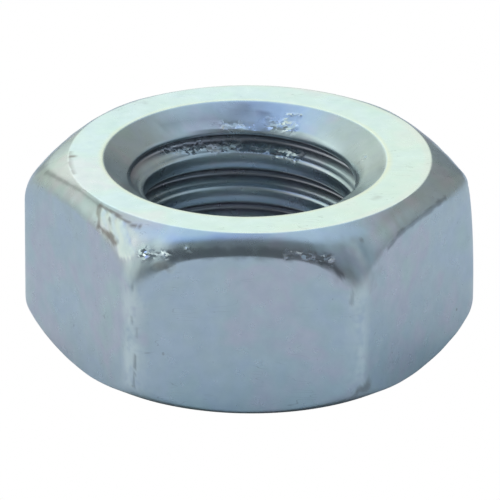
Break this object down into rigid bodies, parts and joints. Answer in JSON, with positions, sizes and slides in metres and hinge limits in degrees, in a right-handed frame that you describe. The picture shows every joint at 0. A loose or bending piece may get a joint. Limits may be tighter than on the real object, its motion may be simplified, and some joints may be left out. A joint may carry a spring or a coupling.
{
  "type": "hex nut",
  "caption": "Plain zinc-plated steel hex nut, chamfered and countersunk on both faces, with a right-hand coarse metric thread right through.",
  "frame": {"origin": "centre of the lower bearing face, on the thread axis", "axes": "+Z along the thread axis towards the upper bearing face, two corners of the hexagon on the X axis, flats facing -Y and +Y"},
  "size_m": [0.0148, 0.013, 0.0064],
  "materials": {
    "zinc_plate": "bright zinc plating with a clear blue passivate, satin on the flats and brighter on the bearing face"
  },
  "bodies": {
    "root": {"hex_nut": "zinc_plate"}
  },
  "joints": []
}
